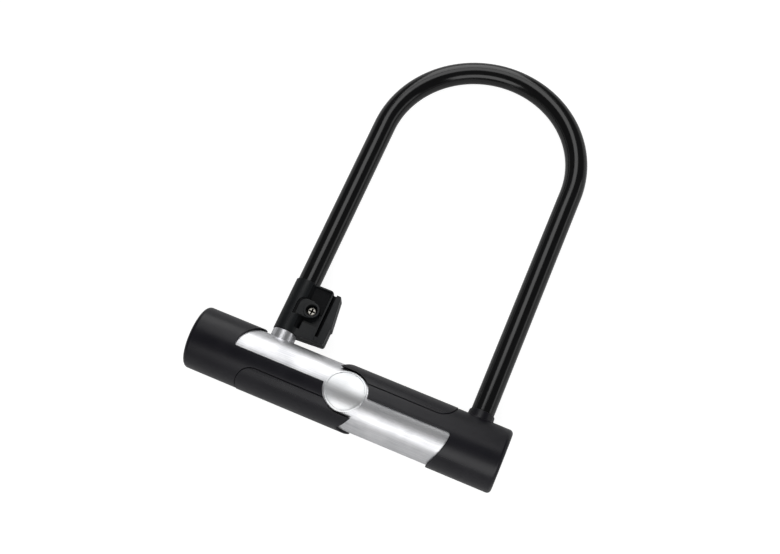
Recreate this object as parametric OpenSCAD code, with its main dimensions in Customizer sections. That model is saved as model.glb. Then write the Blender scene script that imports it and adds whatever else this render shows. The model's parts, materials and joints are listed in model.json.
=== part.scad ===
// Bicycle U-lock: a coated U-shaped shackle in an end-keyed crossbar, with a carrying bracket.
// Lengths are in millimetres. The lock is drawn with the crossbar along X and the legs along +Y,
// then laid on its back so that the crossbar and the bow both touch the ground.

/* [Shackle] */
// Clear width between the coated legs
inside_width = 115; // [100:0.5:130]
// Clear height from the crossbar's cover to the inside of the bow
inside_height = 216; // [150:1:300]
// Diameter of the steel rod
rod_d = 13; // [12:0.1:13.6]
// Thickness of the vinyl sleeve on the rod
coat_t = 0.6; // [0.4:0.05:1]
// How far the leg ends reach past the crossbar's axis
leg_depth = 12.5; // [9:0.1:13]
// Bevel on the leg ends
leg_bevel = 1.2; // [0.5:0.1:2]

/* [Crossbar] */
// From the left end of the crossbar to the left leg's axis
left_overhang = 48.6; // [46:0.1:60]
// From the right leg's axis to the right end of the crossbar
right_overhang = 21.3; // [20:0.1:30]
// Outside diameter of the steel tube
tube_d = 36.6; // [36:0.1:40]
// Wall of the steel tube
tube_wall = 3; // [2:0.1:3.2]
// Height of the polished collar on the tube at the left leg, above the tube
collar_h = 4.6; // [3:0.1:6]
// Wall of the polished collar
collar_wall = 0.8; // [0.6:0.1:1.2]

/* [Covers] */
// Thickness of the covers
cover_t = 1.35; // [1:0.05:2]
// How far the grip panels stand above the covers
panel_rise = 0.3; // [0.1:0.05:0.6]
// Thickness of the covers' end walls
end_wall = 2.5; // [2.3:0.1:4]
// Rounding of the covers' end edges
end_round = 2.6; // [1:0.1:4]
// Length of the left cover's closed end, up to the window
left_cup_l = 28.1; // [20:0.1:34]
// Length of the right cover's closed end, up to the window
right_cup_l = 33.4; // [31:0.1:40]
// Radius of the left window's end
left_window_r = 24; // [21:0.5:40]
// Radius of the right window's end
right_window_r = 30; // [21:0.5:40]
// How far each cover's tongue runs past the badge's centre
tongue_past = 9; // [6:0.1:12]
// Depth of the notch in a tongue's end
tongue_notch = 5.7; // [3:0.1:7]
// From a crossbar end to the nearer end of a grip panel
panel_setback = 35.4; // [34:0.1:45]
// Height of a grip panel's straight edge from the crossbar's middle line
panel_edge = 8.9; // [6:0.1:12]
// Rounding of a grip panel's end
panel_round = 10; // [6:0.5:10]
// Rounding of the corners of the windows
window_round = 1.6; // [0.5:0.1:3]
// Height of the moulded collar round the right leg, above the cover
seal_h = 3.2; // [2:0.1:5]
// Wall of the moulded collar at its rim
seal_wall = 1.1; // [0.8:0.1:2]

/* [Badge] */
// Diameter of the badge
badge_d = 25.2; // [20:0.1:26]
// Width of the badge's raised rim
badge_rim_w = 1.2; // [0.8:0.1:2]
// Thickness of the badge plate
badge_t = 0.5; // [0.3:0.05:1]
// How far the rim stands above the plate
badge_rim_h = 0.4; // [0.2:0.05:0.8]
// Gap between the badge and the covers
badge_gap = 1; // [0.3:0.1:2]

/* [Cylinder and bolts] */
// Diameter of the key plug
plug_d = 14; // [12.6:0.1:15]
// Height of the keyway
keyway_h = 8; // [6:0.1:8.6]
// Width of the keyway
keyway_w = 2.4; // [1.6:0.1:3]
// Number of wafers in the plug
wafer_count = 7; // [4:1:7]
// Travel of the bolts for a quarter turn of the plug
bolt_throw = 6; // [5:0.1:6.4]
// Height of a bolt
bolt_h = 7; // [5:0.1:8]
// Length of a bolt
bolt_l = 4.3; // [4:0.1:5]
// Thickness of the bolt bar
bar_t = 4; // [3:0.1:4.4]
// Diameter of the pin that follows the cam
cam_pin_d = 3; // [2.6:0.1:3.4]
// Diameter of the pins that hold the inner blocks in the tube
pin_d = 4; // [3:0.1:4.4]
// Radius of the dust cover's lid
lid_r = 4.9; // [4.6:0.1:5]
// From the crossbar's axis to the dust cover's pivot
lid_pivot = 6.5; // [6.3:0.1:6.6]

/* [Bracket] */
// Height of the bracket along the leg
bracket_h = 34; // [30:0.5:45]
// Wall of the bracket round the leg
bracket_wall = 0.8; // [0.6:0.1:2]
// From the leg's axis to the end of the bracket's block
block_w = 18.4; // [17:0.1:24]
// Thickness of the bracket's block, front to back
block_t = 10.8; // [10:0.1:12]
// Width of the slide groove
groove_w = 1.9; // [1.5:0.1:3]
// Thickness of the web left between the slide grooves
web_t = 3.2; // [2:0.1:5]
// Width of the slide flange at its top
flange_w = 3; // [2:0.1:6]
// How much wider the flange is at its foot
flange_flare = 2.6; // [0:0.1:4]
// Height at which the flange starts to narrow
flange_foot = 11.3; // [6:0.1:20]
// Thickness of the slide flange, front to back
flange_t = 10.2; // [7:0.1:10.6]
// How far the flange's top lies below the bracket's top
flange_drop = 1.4; // [0:0.1:4]
// Height of the solid stop below the slide grooves
groove_stop = 3.2; // [2:0.1:6]
// From the leg's axis to the screw's axis
screw_off = 10.4; // [10.2:0.1:11.4]
// From the bracket's foot to the screw's axis
screw_up = 16.8; // [14:0.1:22]
// Diameter of the screw
screw_d = 4; // [3:0.1:4]
// Diameter of the screw's head
screw_head_d = 5.8; // [5.4:0.1:6.6]
// Diameter of the boss round the screw
boss_d = 10; // [9:0.1:11]
// Height of the boss above the block's face
boss_rise = 2.8; // [2:0.1:4]
// Height of the thumb tab beside the boss
tab_h = 11.3; // [8:0.1:12]
// From the leg's axis to the thumb tab's left edge
tab_left = 1.2; // [0:0.1:3]
// Rounding of the thumb tab's upper corner
tab_round = 4.5; // [1:0.1:6]
// Rounding of the block's upper corner
block_round = 2.5; // [0.5:0.1:4]
// Depth of the recess above the boss
recess_d = 1.2; // [0.5:0.1:2]
// Depth of the pocket below the boss
pocket_d = 2.4; // [1:0.1:3]
// From the leg's axis to the left edge of the recess and the pocket
recess_left = 4.3; // [3:0.1:6]
// Rim between the recess and the block's upper and right edges
recess_rim = 1.2; // [0.6:0.1:2]
// Width of the pocket's lower leg
pocket_leg_w = 3.4; // [2:0.1:5]
// Height of the land beside the pocket's leg
pocket_land_h = 8.5; // [6:0.1:9]

/* [Clearances] */
// Radial play of the bare legs in their holes
leg_fit = 0.3; // [0.2:0.05:0.5]
// Radial play of turning pieces in their bores
turn_fit = 0.06; // [0.03:0.01:0.1]
// Radial room of pressed and glued pieces
seat_fit = 0.05; // [0.02:0.01:0.1]
// Room round the sliding bolts and bar
slide_fit = 0.35; // [0.3:0.05:0.5]
// Gap between faces of neighbouring pieces that move past each other
face_gap = 0.3; // [0.2:0.05:0.5]
// Gap between the two covers, and between the two bracket halves
split_gap = 0.4; // [0.2:0.05:0.8]

/* [Hidden] */
$fn = 96;
// How far a cutting shape reaches past the faces that it cuts
past = 1;

// Shackle
rod_r = rod_d / 2;
coat_r = rod_r + coat_t;
leg_hole_r = rod_r + leg_fit;
leg_spacing = inside_width + 2 * coat_r;
bow_r = leg_spacing / 2;

// Crossbar
crossbar_l = left_overhang + leg_spacing + right_overhang;
half_l = crossbar_l / 2;
tube_r = tube_d / 2;
bore_r = tube_r - tube_wall;
insert_r = bore_r - seat_fit;
tube_half = half_l - end_wall;
left_leg_x = -half_l + left_overhang;
right_leg_x = left_leg_x + leg_spacing;
bow_x = (left_leg_x + right_leg_x) / 2;
cover_in_r = tube_r + seat_fit;
cover_r = cover_in_r + cover_t;
panel_r = cover_r + panel_rise;
bow_y = inside_height + cover_r + coat_r - bow_r;
coat_y = cover_r + seal_h + face_gap;
collar_r = leg_hole_r + collar_wall;
collar_sink = 3;
collar_y = bore_r - collar_sink;
collar_top = tube_r + collar_h;
seal_top_r = leg_hole_r + seal_wall;
seal_flare = 2.2;
notch_rim = 0.7;
badge_r = badge_d / 2;
badge_hole_r = badge_r + badge_gap;

// How the lock lies: the bow's lowest point is level with the crossbar's
lay_tilt = asin((cover_r - coat_r) / (bow_y + bow_r));
lay_far = (bow_y + bow_r) * cos(lay_tilt) + coat_r;
lay_y = (panel_r - lay_far) / 2;

// Bolts, cam and cylinder, from the left leg towards the left end
bolt_gap = 0.8;
bolt_bevel = 1;
bolt_front = bolt_h / 2;
left_bolt_x = left_leg_x - rod_r - bolt_gap - bolt_l;
right_bolt_x = right_leg_x - rod_r - bolt_gap - bolt_l;
notch_l = bolt_throw - bolt_gap + slide_fit;
bar_gap = 1.2;
bar_z = leg_hole_r + bar_gap;
bar_lip = 0.5;
bar_h = bolt_h + 2 * bar_lip;
groove_r = cam_pin_d / 2 + slide_fit;
cam_lip = 1.6;
cam_gap = 0.5;
cam_r = bar_z - cam_gap;
cam_floor_r = cam_r - cam_pin_d;
cam_end = left_bolt_x - face_gap;
cam_l = bolt_throw + 2 * groove_r + 2 * cam_lip;
cam_start = cam_end - cam_l;
cam_pin_x = cam_start + cam_lip + groove_r;
bar_start = cam_pin_x - cam_pin_d;
bar_end = right_bolt_x + bolt_l;
cam_steps = 12;
clip_t = 1;
clip_play = 0.1;
housing_end = cam_start - clip_t - 2 * clip_play;
plug_r = plug_d / 2;
clip_groove = 2;
clip_in_r = plug_r - clip_groove;
clip_stand = 0.7;
clip_out_r = plug_r + clip_stand;
clip_mouth = 7;
tail_half = 3;
cam_web = 2.6;
cam_screw_r = 1.25;
cam_screw_head_r = 2.5;
cam_screw_head_t = 1.4;
cam_screw_l = 6;
plug_start = -tube_half + clip_play;
nose_wall = 0.6;
plug_nose_r = keyway_h / 2 + nose_wall;
wafer_t = 1;
wafer_half_w = 3;
wafer_set = 0.3;
wafer_half_h = sqrt(plug_r ^ 2 - wafer_half_w ^ 2) - wafer_set;
wafer_lead = 2.5;
wafer_pitch = (housing_end - plug_start - 2 * wafer_lead) / (wafer_count - 1);
wafer_window = 0.2;
keyway_stop = 1.2;

// Inner blocks and the pins that hold them
pin_r = pin_d / 2;
pin_sink = 0.7;
guide_wall = 1.5;
leg_room = 0.6;
guide_floor = -leg_depth - leg_room;
left_guide_start = left_bolt_x;
left_pin_x = left_leg_x + leg_hole_r + guide_wall + pin_r;
left_guide_end = left_pin_x + pin_r + guide_wall;
right_guide_start = right_bolt_x - 2 * guide_wall;
right_pin_x = right_leg_x + leg_hole_r + guide_wall + pin_r;
right_guide_end = right_pin_x + pin_r + guide_wall;
housing_pin_x = (plug_start + housing_end) / 2;
pin_xs = [housing_pin_x, left_pin_x, right_pin_x];
pin_top = -plug_r - turn_fit - guide_wall;

// Left end: key plate and dust cover, all inside the cover's end wall
key_recess = 1.4;
key_plate_rim = 1.9;
key_plate_r = bore_r - key_plate_rim;
key_face = -half_l + key_recess;
lid_gap = 0.1;
lid_t = 0.7;
lid_face = key_face - lid_gap - lid_t;
lid_arm_r = 2.3;
lid_nub_r = 0.9;
lid_nub_h = 0.5;
rivet_r = 1.2;
rivet_head_r = 2;
rivet_head_t = 0.4;

// Bracket, measured from the left leg's axis and from its own foot
bracket_y = coat_y + face_gap;
bracket_in_r = coat_r + seat_fit;
bracket_r = bracket_in_r + bracket_wall;
block_half = block_t / 2;
flange_half = flange_t / 2;
flange_x = block_w + groove_w;
bracket_w = flange_x + flange_w + flange_flare;
boss_r = boss_d / 2;
boss_z = block_half + boss_rise;
screw_r = screw_d / 2;
screw_head_r = screw_head_d / 2;
screw_head_t = 2.2;
screw_seat = block_half - screw_head_t;
head_room = 0.7;
screw_play = 0.15;
screw_hole_r = screw_r + screw_play;
cross_l = 3.5;
cross_w = 0.8;
cross_d = 1.3;
nut_wall = 1.5;
nut_r = (screw_r + nut_wall) / cos(30);
nut_t = 3.2;
nut_room = 0.15;
screw_short = 0.3;
screw_tip = -block_half + screw_short;
recess_right = block_w - recess_rim;
recess_skin = 0.4;
pocket_foot = groove_stop + recess_skin;
tab_top = screw_up + tab_h / 2 + recess_skin;

// Round bar along X
module rod_x(x0, x1, r) {
    translate([x0, 0, 0])
        rotate([0, 90, 0])
            cylinder(h = x1 - x0, r = r);
}

// Round bar along Y, at x
module rod_y(x, y0, y1, r) {
    translate([x, y0, 0])
        rotate([-90, 0, 0])
            cylinder(h = y1 - y0, r = r);
}

// Round bar along Z, at x and y
module rod_z(x, y, z0, z1, r) {
    translate([x, y, z0])
        cylinder(h = z1 - z0, r = r);
}

// Box from its lowest to its highest corner
module box(low, high) {
    translate(low)
        cube(high - low);
}

// Lays the lock on its back with the origin on the ground under its middle
module laid() {
    translate([0, lay_y, cover_r])
        rotate([-lay_tilt, 0, 0])
            children();
}

// The U-shaped bar from the feet of its legs round the bow
module bent_bar(r, foot) {
    translate([bow_x, bow_y, 0]) {
        for (side = [-1, 1])
            translate([side * bow_r, 0, 0])
                rotate([90, 0, 0])
                    cylinder(h = bow_y - foot, r = r);
        rotate_extrude(angle = 180)
            translate([bow_r, 0])
                circle(r = r);
    }
}

// Outline of one cover seen from the front, as for the left cover
module cover_outline(cup_l, window_r) {
    window_end = -half_l + cup_l;
    window_x = window_end + window_r;
    reach = panel_r + past;
    difference() {
        translate([-half_l - past, -reach])
            square([window_x + half_l + past, 2 * reach]);
        translate([window_x, 0])
            circle(r = window_r);
    }
    translate([-half_l - past, -reach])
        square([half_l + past + tongue_past, reach - split_gap / 2]);
    difference() {
        translate([window_end - past, -split_gap / 2])
            square([past + window_round, window_round + split_gap / 2]);
        translate([window_end + window_round, window_round])
            circle(r = window_round);
        translate([window_end + window_round, window_round])
            square([past, past]);
    }
}

// What the badge and the tongue's notched end take out of a cover's front
module front_cuts() {
    corner_x = sqrt((badge_hole_r + window_round) ^ 2 - (window_round + split_gap / 2) ^ 2);
    notch_y = cover_r - notch_rim;
    circle(r = badge_hole_r);
    translate([0, -badge_hole_r])
        square([tongue_past + past, badge_hole_r + past]);
    polygon([
        [tongue_past, -badge_hole_r],
        [tongue_past - tongue_notch, -notch_y],
        [tongue_past + past, -notch_y],
        [tongue_past + past, -badge_hole_r]
    ]);
    difference() {
        translate([-corner_x, -split_gap / 2 - window_round])
            square([window_round, window_round + past]);
        translate([-corner_x, -split_gap / 2 - window_round])
            circle(r = window_round);
    }
}

// Outline of the raised grip panel on the left cover's tongue
module panel_outline() {
    panel_start = -half_l + panel_setback;
    reach = panel_r + past;
    translate([panel_start + panel_round, -reach])
        square([tongue_past - panel_start - panel_round, reach - panel_edge]);
    translate([panel_start + panel_round, -panel_edge - panel_round])
        circle(r = panel_round);
    translate([panel_start, -reach])
        square([panel_round, reach - panel_edge - panel_round]);
}

// Crossbar envelope with rounded end edges
module cover_bar() {
    translate([-half_l, 0, 0])
        rotate([0, 90, 0])
            rotate_extrude() {
                square([cover_r - end_round, crossbar_l]);
                translate([0, end_round])
                    square([cover_r, crossbar_l - 2 * end_round]);
                translate([cover_r - end_round, end_round])
                    circle(r = end_round);
                translate([cover_r - end_round, crossbar_l - end_round])
                    circle(r = end_round);
            }
}

// One cover, drawn as the left one: shell, grip panel and cut-outs
module cover_body(cup_l, window_r) {
    reach = panel_r + past;
    difference() {
        intersection() {
            union() {
                cover_bar();
                intersection() {
                    rod_x(-half_l + panel_setback, tongue_past, panel_r);
                    translate([0, 0, -reach])
                        linear_extrude(height = 2 * reach)
                            panel_outline();
                }
            }
            translate([0, 0, -reach])
                linear_extrude(height = 2 * reach)
                    cover_outline(cup_l, window_r);
        }
        rod_x(-tube_half, half_l + past, cover_in_r);
        linear_extrude(height = reach)
            front_cuts();
    }
}

// Hole in an inner block for a leg, and the ways of the bolt and the bar
module bolt_ways(leg_x, start, end) {
    bolt_half = bolt_h / 2 + slide_fit;
    rod_y(leg_x, guide_floor, tube_r, leg_hole_r);
    box([start - past, -bolt_half, -bar_z - slide_fit], [leg_x, bolt_half, bolt_front + slide_fit]);
    box(
        [start - past, -bar_h / 2 - slide_fit, -bar_z - bar_t - slide_fit],
        [end + past, bar_h / 2 + slide_fit, -bar_z + slide_fit]
    );
}

// A bolt: a block with its nose bevelled, carried on the bar's front face
module bolt(x) {
    difference() {
        box([x, -bolt_h / 2, -bar_z], [x + bolt_l, bolt_h / 2, bolt_front]);
        translate([x + bolt_l, 0, bolt_front])
            rotate([0, 45, 0])
                cube([bolt_bevel, bolt_h + past, bolt_bevel], center = true);
        bolt_screw_shank(x);
    }
}

// Shank of the screw that holds a bolt on the bar
module bolt_screw_shank(x) {
    rod_z(x + bolt_l / 2, 0, -bar_z - bar_t, 0, cam_screw_r);
}

// Crossbar sub-parts
module crossbar_tube() {
    color("silver")
        laid()
            difference() {
                rod_x(-tube_half, tube_half, tube_r);
                rod_x(-tube_half - past, tube_half + past, bore_r);
                rod_y(left_leg_x, 0, tube_r + past, collar_r + seat_fit);
                rod_y(right_leg_x, 0, tube_r + past, leg_hole_r);
                for (x = pin_xs)
                    rod_y(x, -tube_r - past, 0, pin_r + seat_fit);
            }
}

module left_cover() {
    color("#2b2b2d")
        laid()
            difference() {
                cover_body(left_cup_l, left_window_r);
                rod_x(-half_l - past, -tube_half + past, key_plate_r + seat_fit);
            }
}

module right_cover() {
    color("#2b2b2d")
        laid()
            difference() {
                union() {
                    rotate([0, 0, 180])
                        cover_body(right_cup_l, right_window_r);
                    difference() {
                        translate([right_leg_x, 0, 0])
                            rotate([-90, 0, 0])
                                cylinder(h = cover_r + seal_h, r1 = seal_top_r + seal_flare, r2 = seal_top_r);
                        rod_x(-tube_half, tube_half, cover_in_r + cover_t / 2);
                    }
                }
                rod_y(right_leg_x, 0, cover_r + seal_h + past, leg_hole_r);
            }
}

module badge() {
    color("gainsboro")
        laid()
            difference() {
                intersection() {
                    rod_x(-badge_r - past, badge_r + past, cover_in_r + badge_t + badge_rim_h);
                    rod_z(0, 0, 0, panel_r + past, badge_r);
                }
                rod_x(-badge_r - 2 * past, badge_r + 2 * past, cover_in_r);
                difference() {
                    rod_z(0, 0, 0, panel_r + past, badge_r - badge_rim_w);
                    rod_x(-badge_r - past, badge_r + past, cover_in_r + badge_t);
                }
            }
}

module left_leg_collar() {
    color("white")
        laid()
            difference() {
                rod_y(left_leg_x, collar_y, collar_top, collar_r);
                rod_y(left_leg_x, collar_y - past, collar_top + past, leg_hole_r);
            }
}

module cylinder_housing() {
    color("slategray")
        laid()
            difference() {
                rod_x(-tube_half, housing_end, insert_r);
                rod_x(-tube_half - past, housing_end + past, plug_r + turn_fit);
                rod_y(housing_pin_x, -tube_r, pin_top, pin_r + seat_fit);
            }
}

module key_plate() {
    color("lightgray")
        laid()
            difference() {
                rod_x(key_face, -tube_half, key_plate_r);
                rod_x(key_face - past, -tube_half + past, plug_nose_r + turn_fit);
                translate([0, lid_pivot, 0])
                    rod_x(key_face - past, -tube_half + past, rivet_r + seat_fit);
            }
}

module lid_rivet() {
    color("dimgray")
        laid()
            translate([0, lid_pivot, 0]) {
                rod_x(lid_face - lid_gap, -tube_half, rivet_r);
                rod_x(lid_face - lid_gap - rivet_head_t, lid_face - lid_gap, rivet_head_r);
            }
}

module left_guide() {
    color("rosybrown")
        laid()
            difference() {
                rod_x(left_guide_start, left_guide_end, insert_r);
                bolt_ways(left_leg_x, left_guide_start, left_guide_end);
                rod_y(left_leg_x, collar_y - seat_fit, tube_r, collar_r + seat_fit);
                rod_y(left_pin_x, -tube_r, pin_top, pin_r + seat_fit);
            }
}

module right_guide() {
    color("rosybrown")
        laid()
            difference() {
                rod_x(right_guide_start, right_guide_end, insert_r);
                bolt_ways(right_leg_x, right_guide_start, right_guide_end);
                rod_y(right_pin_x, -tube_r, pin_top, pin_r + seat_fit);
            }
}

module right_end_plug() {
    color("gray")
        laid()
            rod_x(right_guide_end, tube_half, insert_r);
}

module retaining_pins() {
    color("darkgray")
        laid()
            for (x = pin_xs)
                rod_y(x, -tube_r + pin_sink, pin_top - seat_fit, pin_r);
}

// Key cylinder sub-parts
module key_plug() {
    tail_end = cam_end - cam_web;
    color("goldenrod")
        laid()
            difference() {
                union() {
                    rod_x(key_face + clip_play, plug_start, plug_nose_r);
                    rod_x(plug_start, housing_end, plug_r);
                    rod_x(housing_end, cam_start, clip_in_r);
                    box([cam_start, -tail_half, -tail_half], [tail_end, tail_half, tail_half]);
                }
                box(
                    [key_face - past, -keyway_h / 2, -keyway_w / 2],
                    [housing_end - keyway_stop, keyway_h / 2, keyway_w / 2]
                );
                for (i = [0 : wafer_count - 1])
                    translate([plug_start + wafer_lead + i * wafer_pitch, 0, 0])
                        cube(
                            [wafer_t + 2 * seat_fit, 2 * plug_r + past, 2 * (wafer_half_w + seat_fit)],
                            center = true
                        );
                rod_x(tail_end - cam_screw_l, tail_end + past, cam_screw_r + seat_fit);
            }
}

module wafers() {
    color("khaki")
        laid()
            for (i = [0 : wafer_count - 1])
                translate([plug_start + wafer_lead + i * wafer_pitch, 0, 0])
                    difference() {
                        cube([wafer_t, 2 * wafer_half_h, 2 * wafer_half_w], center = true);
                        cube(
                            [wafer_t + past, keyway_h + wafer_window, keyway_w + wafer_window],
                            center = true
                        );
                    }
}

module plug_clip() {
    color("dimgray")
        laid()
            difference() {
                rod_x(housing_end + clip_play, cam_start - clip_play, clip_out_r);
                rod_x(housing_end, cam_start, clip_in_r + seat_fit);
                box([housing_end, 0, -clip_mouth / 2], [cam_start, clip_out_r + past, clip_mouth / 2]);
            }
}

module drive_cam() {
    color("peru")
        laid()
            difference() {
                rod_x(cam_start, cam_end, cam_r);
                box(
                    [cam_start - past, -tail_half - seat_fit, -tail_half - seat_fit],
                    [cam_end - cam_web, tail_half + seat_fit, tail_half + seat_fit]
                );
                rod_x(cam_start, cam_end + past, cam_screw_r + seat_fit);
                rod_x(cam_end - cam_screw_head_t - seat_fit, cam_end + past, cam_screw_head_r + seat_fit);
                for (i = [0 : cam_steps])
                    rotate([-90 * i / cam_steps, 0, 0])
                        rod_z(
                            cam_pin_x + bolt_throw * i / cam_steps, 0,
                            -cam_r - past, -cam_floor_r, groove_r
                        );
            }
}

module cam_screw() {
    tail_end = cam_end - cam_web;
    color("lightsteelblue")
        laid() {
            rod_x(tail_end - cam_screw_l + seat_fit, cam_end - cam_screw_head_t, cam_screw_r);
            rod_x(cam_end - cam_screw_head_t, cam_end - seat_fit, cam_screw_head_r);
        }
}

module dust_cover() {
    color("#3a3a3c")
        laid()
            difference() {
                union() {
                    rod_x(lid_face, key_face - lid_gap, lid_r);
                    box([lid_face, 0, -lid_arm_r], [key_face - lid_gap, lid_pivot, lid_arm_r]);
                    translate([0, lid_pivot, 0])
                        rod_x(lid_face, key_face - lid_gap, lid_arm_r);
                    translate([0, -lid_r + 2 * lid_nub_r, 0])
                        rod_x(lid_face - lid_nub_h, lid_face, lid_nub_r);
                }
                translate([0, lid_pivot, 0])
                    rod_x(lid_face - past, key_face + past, rivet_r + turn_fit);
            }
}

// Bolt sub-parts
module bolt_bar() {
    color("lightslategray")
        laid()
            difference() {
                box([bar_start, -bar_h / 2, -bar_z - bar_t], [bar_end, bar_h / 2, -bar_z]);
                rod_z(cam_pin_x, 0, -bar_z - bar_t - past, -bar_z + past, cam_pin_d / 2 + seat_fit);
                for (x = [left_bolt_x, right_bolt_x]) {
                    rod_z(x + bolt_l / 2, 0, -bar_z - bar_t - past, -bar_z + past, cam_screw_r + seat_fit);
                    rod_z(
                        x + bolt_l / 2, 0, -bar_z - bar_t - past,
                        -bar_z - bar_t + cam_screw_head_t + seat_fit, cam_screw_head_r + seat_fit
                    );
                }
            }
}

module left_bolt() {
    color("steelblue")
        laid()
            bolt(left_bolt_x);
}

module right_bolt() {
    color("steelblue")
        laid()
            bolt(right_bolt_x);
}

module cam_pin() {
    color("white")
        laid()
            rod_z(cam_pin_x, 0, -bar_z - bar_t, -cam_floor_r - slide_fit, cam_pin_d / 2);
}

module bolt_screws() {
    color("lightsteelblue")
        laid()
            for (x = [left_bolt_x, right_bolt_x]) {
                rod_z(x + bolt_l / 2, 0, -bar_z - bar_t, -seat_fit, cam_screw_r - seat_fit);
                rod_z(x + bolt_l / 2, 0, -bar_z - bar_t, -bar_z - bar_t + cam_screw_head_t, cam_screw_head_r);
            }
}

// Shackle sub-parts
module shackle_rod() {
    notch_half = bolt_h / 2 + slide_fit;
    color("darkgray")
        laid()
            difference() {
                union() {
                    bent_bar(rod_r, leg_bevel - leg_depth);
                    for (x = [left_leg_x, right_leg_x])
                        translate([x, -leg_depth, 0])
                            rotate([-90, 0, 0])
                                cylinder(h = leg_bevel, r1 = rod_r - leg_bevel, r2 = rod_r);
                }
                for (x = [left_leg_x, right_leg_x])
                    box(
                        [x - rod_r - past, -notch_half, -rod_r - past],
                        [x - rod_r + notch_l, notch_half, rod_r + past]
                    );
            }
}

module shackle_sleeve() {
    color("#1c1c1e")
        laid()
            difference() {
                bent_bar(coat_r, coat_y);
                bent_bar(rod_r + seat_fit, coat_y - past);
            }
}

// Section of a bracket half across the leg, on the +y side of the split
module bracket_section() {
    reach = bracket_w + past;
    difference() {
        intersection() {
            union() {
                circle(r = bracket_r);
                square([block_w, block_half]);
                square([reach, web_t / 2]);
                translate([flange_x, 0])
                    square([reach - flange_x, flange_half]);
            }
            translate([-reach, split_gap / 2])
                square([2 * reach, reach]);
        }
        circle(r = bracket_in_r);
    }
}

// What rounding takes off a square corner at the origin, the shape being on its -x, -y side
module corner_cut(r) {
    difference() {
        translate([-r, -r])
            square(r);
        translate([-r, -r])
            circle(r = r);
    }
}

// Outline of the bracket seen from the front, with its sloping flange
module bracket_outline() {
    difference() {
        polygon([
            [-bracket_r - past, 0],
            [bracket_w, 0],
            [bracket_w, flange_foot],
            [bracket_w - flange_flare, bracket_h - flange_drop],
            [block_w, bracket_h - flange_drop],
            [block_w, bracket_h],
            [-bracket_r - past, bracket_h]
        ]);
        translate([block_w, bracket_h])
            corner_cut(block_round);
    }
}

// Thumb tab beside the boss, seen from the front
module tab_outline() {
    difference() {
        translate([tab_left, tab_top - tab_h])
            square([screw_off - tab_left, tab_h]);
        translate([tab_left, tab_top])
            mirror([1, 0])
                corner_cut(tab_round);
    }
}

// What the recess above the boss and the pocket below it take out of the front half
module bracket_recesses() {
    difference() {
        union() {
            box(
                [recess_left, screw_up, block_half - recess_d],
                [recess_right, bracket_h - recess_rim, bracket_r + past]
            );
            box(
                [recess_left, pocket_foot, block_half - pocket_d],
                [recess_left + pocket_leg_w, screw_up, bracket_r + past]
            );
            box(
                [recess_left, pocket_land_h, block_half - pocket_d],
                [recess_right, screw_up, bracket_r + past]
            );
        }
        rod_y(0, -past, bracket_h + past, bracket_in_r + recess_skin);
    }
}

// One bracket half with its stop, standing on the foot plane
module bracket_half() {
    intersection() {
        union() {
            rotate([90, 0, 0])
                mirror([0, 0, 1])
                    linear_extrude(height = bracket_h)
                        bracket_section();
            box([block_w - past, 0, split_gap / 2], [flange_x + past, groove_stop, flange_half]);
        }
        translate([0, 0, -past])
            linear_extrude(height = bracket_r + 2 * past)
                bracket_outline();
    }
}

module bracket_place() {
    laid()
        translate([left_leg_x, bracket_y, 0])
            children();
}

module bracket_front() {
    color("#242426")
        bracket_place()
            difference() {
                union() {
                    difference() {
                        bracket_half();
                        bracket_recesses();
                    }
                    rod_z(screw_off, screw_up, screw_seat - recess_d, boss_z, boss_r);
                    translate([0, 0, block_half - pocket_d])
                        linear_extrude(height = boss_z - block_half + pocket_d)
                            tab_outline();
                }
                rod_y(0, -past, bracket_h + past, bracket_in_r);
                rod_z(screw_off, screw_up, 0, boss_z + past, screw_hole_r);
                rod_z(screw_off, screw_up, screw_seat, boss_z + past, screw_head_r + head_room);
            }
}

module bracket_rear() {
    color("#242426")
        bracket_place()
            mirror([0, 0, 1])
                difference() {
                    bracket_half();
                    rod_z(screw_off, screw_up, 0, block_half + past, screw_hole_r);
                    translate([screw_off, screw_up, block_half - nut_t])
                        rotate([0, 0, 30])
                            cylinder(h = nut_t + past, r = nut_r + nut_room, $fn = 6);
                }
}

module bracket_screw() {
    head_top = screw_seat + screw_head_t;
    color("silver")
        bracket_place()
            difference() {
                union() {
                    rod_z(screw_off, screw_up, screw_tip, screw_seat, screw_r);
                    rod_z(screw_off, screw_up, screw_seat, head_top, screw_head_r);
                }
                translate([screw_off, screw_up, head_top]) {
                    cube([cross_l, cross_w, 2 * cross_d], center = true);
                    cube([cross_w, cross_l, 2 * cross_d], center = true);
                }
            }
}

module bracket_nut() {
    color("silver")
        bracket_place()
            difference() {
                translate([screw_off, screw_up, -block_half])
                    rotate([0, 0, 30])
                        cylinder(h = nut_t, r = nut_r, $fn = 6);
                rod_z(screw_off, screw_up, -block_half - past, 0, screw_r + seat_fit);
            }
}

crossbar_tube();
left_cover();
right_cover();
badge();
left_leg_collar();
cylinder_housing();
key_plate();
lid_rivet();
left_guide();
right_guide();
right_end_plug();
retaining_pins();
key_plug();
wafers();
plug_clip();
drive_cam();
cam_screw();
dust_cover();
bolt_bar();
left_bolt();
right_bolt();
cam_pin();
bolt_screws();
shackle_rod();
shackle_sleeve();
bracket_front();
bracket_rear();
bracket_screw();
bracket_nut();
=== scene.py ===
"""Looks of a bicycle U-lock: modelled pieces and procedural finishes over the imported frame.

The lock is modelled in millimetres with its crossbar along X and its legs along +Y. One matrix then lays
every piece on its back, as the frame's own solids lie.
"""

import json
import logging
import math
from collections.abc import Callable, Sequence
from dataclasses import dataclass, field
from enum import Enum
from typing import ClassVar

import bpy
from mathutils import Matrix, Vector


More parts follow.
